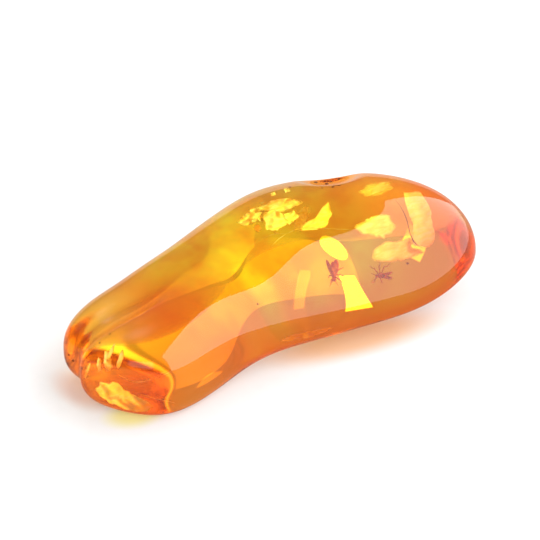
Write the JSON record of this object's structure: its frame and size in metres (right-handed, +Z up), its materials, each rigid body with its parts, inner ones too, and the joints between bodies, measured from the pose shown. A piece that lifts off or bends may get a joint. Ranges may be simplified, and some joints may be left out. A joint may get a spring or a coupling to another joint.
{
  "type": "insect in amber",
  "caption": "Polished free-form amber nugget, clear orange-yellow with a narrow waist and a cleft end, with small insects sealed inside; it lies on its flattened underside.",
  "frame": {"origin": "on the ground, under the middle of the stone's box", "axes": "+X along the stone from the cleft thin end to the thick lobe, +Z up from the flattened underside, +Y to the back, where the crest's pit lies"},
  "size_m": [0.0456, 0.0229, 0.0112],
  "materials": {
    "amber": "polished",
    "dark_insect": "satin",
    "red_insect": "satin"
  },
  "bodies": {
    "root": {"amber_upper": "amber", "amber_lower": "amber", "gnat": "dark_insect", "barklouse": "red_insect"}
  },
  "joints": []
}
